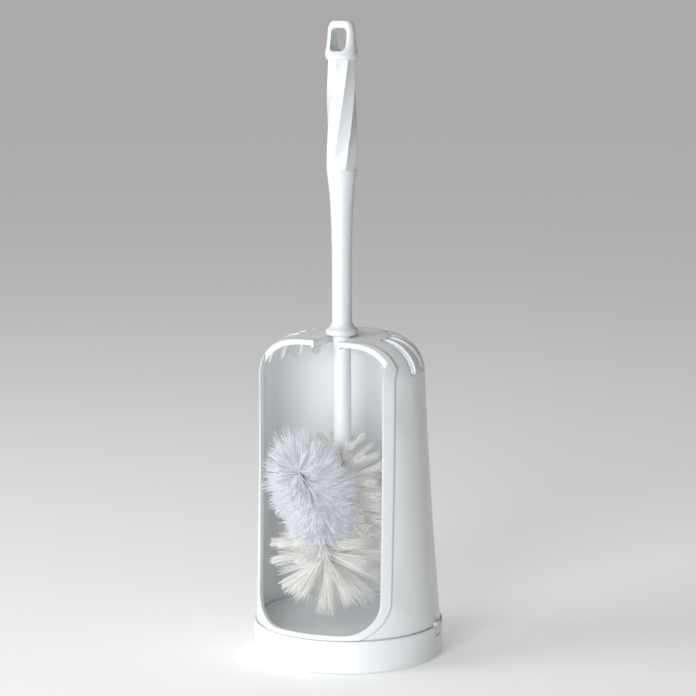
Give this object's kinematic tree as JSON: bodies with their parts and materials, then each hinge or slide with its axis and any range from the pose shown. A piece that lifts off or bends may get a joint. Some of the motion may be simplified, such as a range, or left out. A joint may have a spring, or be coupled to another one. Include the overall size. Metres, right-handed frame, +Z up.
{
  "type": "toilet brush holder",
  "caption": "Free-standing toilet brush holder: round drip tray, open-fronted vented hood with a hanging notch, and a brush with a twisted grip and a hooked head.",
  "frame": {"origin": "centre of the tray's underside, on the surface it stands on", "axes": "+Z up along the hanging brush; the hood's open front faces -Y; +X to the right seen from the front"},
  "size_m": [0.125, 0.125, 0.415],
  "materials": {
    "white_plastic": "glossy moulded polypropylene",
    "handle_plastic": "glossy moulded polypropylene",
    "galvanised_wire": "galvanised steel, twisted",
    "coarse_bristle": "crimped cream-white filament in flat tufts",
    "fine_bristle": "fine cool-white filament"
  },
  "bodies": {
    "tray": {"base_tray": "white_plastic"},
    "hood": {"hood": "white_plastic"},
    "brush": {"handle": "handle_plastic", "stem": "handle_plastic", "wire_core": "galvanised_wire", "bristles_coarse": "coarse_bristle", "bristles_fine": "fine_bristle"}
  },
  "joints": [
    {"name": "hood_lift", "type": "slide", "parent": "tray", "child": "hood", "axis": [0, 0, 1], "range_m": [0, 0.05]},
    {"name": "brush_out", "type": "slide", "parent": "hood", "child": "brush", "axis": [0, -1, 0], "range_m": [0, 0.13]}
  ]
}
